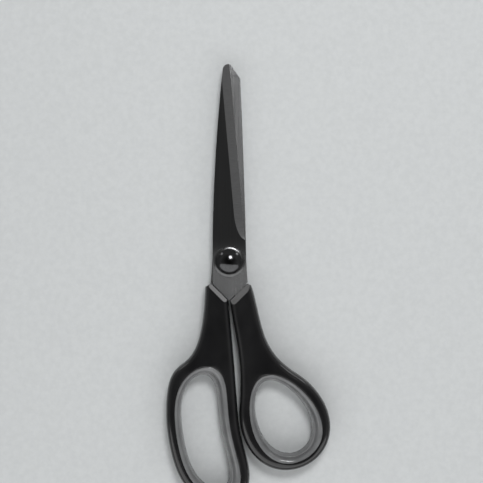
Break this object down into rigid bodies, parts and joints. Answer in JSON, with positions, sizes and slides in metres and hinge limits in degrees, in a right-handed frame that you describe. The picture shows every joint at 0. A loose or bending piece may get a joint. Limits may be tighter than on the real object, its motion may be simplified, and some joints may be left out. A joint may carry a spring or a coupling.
{
  "type": "kitchen scissors",
  "caption": "Right-handed kitchen scissors: ground steel blades on a domed pivot rivet, black moulded handles with a thumb loop and a long finger loop lined in soft grey.",
  "frame": {"origin": "centre of the pivot rivet's flat rear end, so the hinge axis is the Z axis", "axes": "+Y towards the tips, +Z out of the front face along the rivet, +X towards the thumb handle"},
  "size_m": [0.078, 0.2093, 0.0106],
  "materials": {
    "blade_steel": "finely ground and polished stainless steel",
    "rivet_steel": "polished steel",
    "handle_black": "glossy moulded hard plastic",
    "grip_grey": "satin soft elastomer"
  },
  "bodies": {
    "finger_half": {"rear_blade": "blade_steel", "finger_handle": "handle_black", "finger_grip": "grip_grey", "pivot_rivet": "rivet_steel", "front_washer": "rivet_steel", "rear_washer": "rivet_steel"},
    "thumb_half": {"front_blade": "blade_steel", "thumb_handle": "handle_black", "thumb_grip": "grip_grey"}
  },
  "joints": [
    {"name": "blade_pivot", "type": "hinge", "parent": "finger_half", "child": "thumb_half", "pos_m": [0, 0, 0.00386], "axis": [0, 0, 1], "range_deg": [0, 95]}
  ]
}
